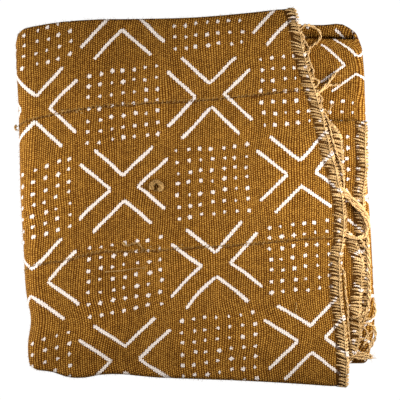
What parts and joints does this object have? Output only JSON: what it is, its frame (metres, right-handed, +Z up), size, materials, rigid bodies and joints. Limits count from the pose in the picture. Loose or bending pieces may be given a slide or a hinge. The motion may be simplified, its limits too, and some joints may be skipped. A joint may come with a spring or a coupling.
{
  "type": "folded mud cloth",
  "caption": "Hand-woven cotton mud cloth of sewn strips with whipped ends, folded flat with its open ends at one side.",
  "frame": {"origin": "centre of the bounding box's base, on the surface that the folded cloth lies on", "axes": "+X along the cloth's strips towards its open whipped ends, +Y towards the fold between the upper and lower thirds, +Z up through the layers"},
  "size_m": [0.3628, 0.3814, 0.0348],
  "materials": {
    "dyed_cotton": "coarse hand-woven cotton dyed mustard brown, with an off-white mud-dye pattern",
    "whipping_yarn": "thick undyed hand-spun cotton yarn"
  },
  "bodies": {
    "root": {"strip_1": "dyed_cotton", "strip_2": "dyed_cotton", "strip_3": "dyed_cotton", "strip_4": "dyed_cotton", "strip_5": "dyed_cotton", "strip_6": "dyed_cotton", "strip_7": "dyed_cotton", "whipped_upper_end": "whipping_yarn", "whipped_lower_end": "whipping_yarn"}
  },
  "joints": []
}
